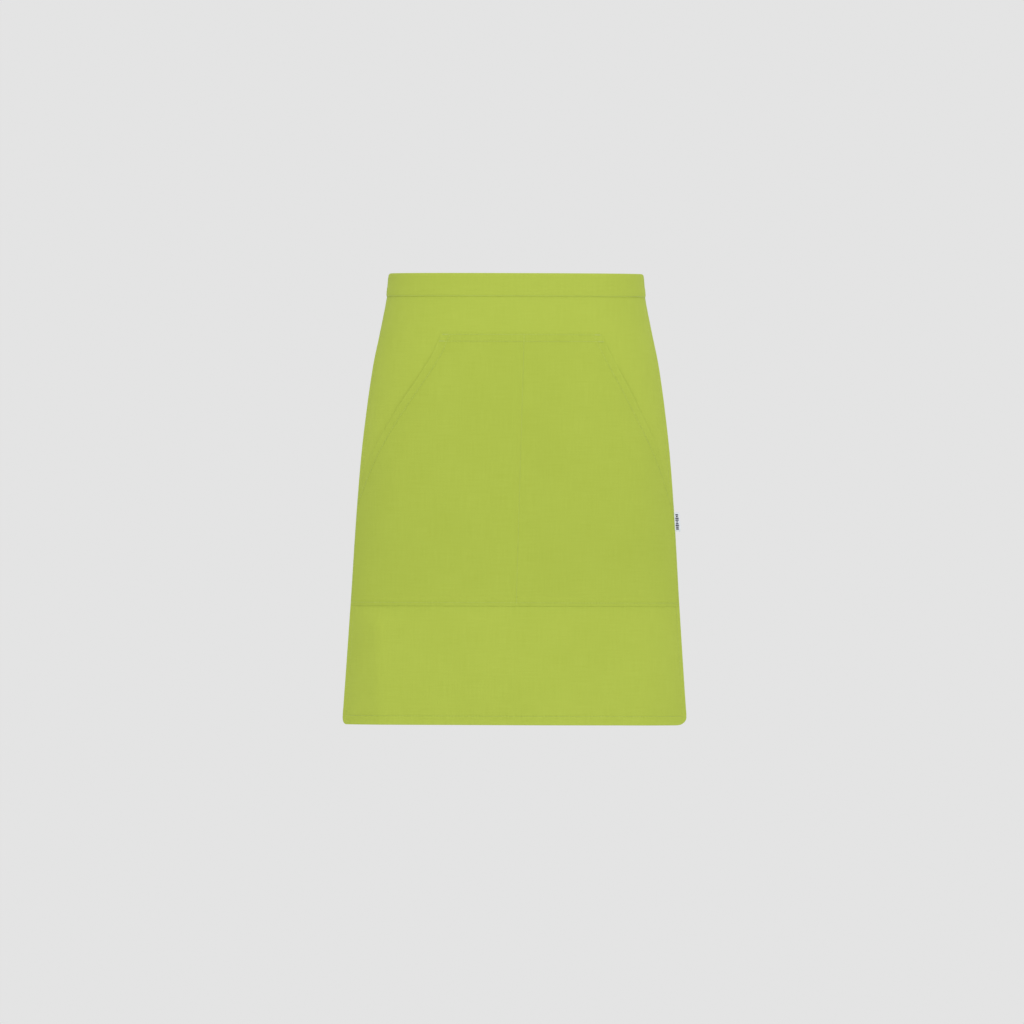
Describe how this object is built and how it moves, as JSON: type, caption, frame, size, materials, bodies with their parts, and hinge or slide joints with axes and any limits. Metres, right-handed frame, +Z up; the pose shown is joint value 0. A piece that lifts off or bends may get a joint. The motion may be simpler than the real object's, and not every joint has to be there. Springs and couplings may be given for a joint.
{
  "type": "waist apron",
  "caption": "Short woven waist apron in its worn form, with a folded waistband, a wide divided front pocket with slanting side mouths, and ties in a bow at the back.",
  "frame": {"origin": "middle of the waist opening, level with the top fold of the waistband: the place where the wearer's waist holds the apron up", "axes": "+Z up the wearer, -Y out of the front of the panel, +X to the right in a view from the front (the wearer's left)"},
  "size_m": [0.3668, 0.2377, 0.48],
  "materials": {
    "panel_twill": "matt woven cloth, lime green",
    "band_twill": "matt woven cloth, lime green",
    "pocket_twill": "matt woven cloth, lime green",
    "tie_twill": "matt woven cloth, lime green",
    "label_weave": "smooth close-woven label tape, pale grey",
    "thread": "polyester sewing thread, lime green"
  },
  "bodies": {
    "root": {"front_panel": "panel_twill", "waistband": "band_twill", "pocket": "pocket_twill", "side_label": "label_weave", "tie_left": "tie_twill", "tie_right": "tie_twill", "bow_knot": "tie_twill", "bow_loop_left": "tie_twill", "bow_loop_right": "tie_twill", "tie_tail_left": "tie_twill", "tie_tail_right": "tie_twill"}
  },
  "joints": []
}
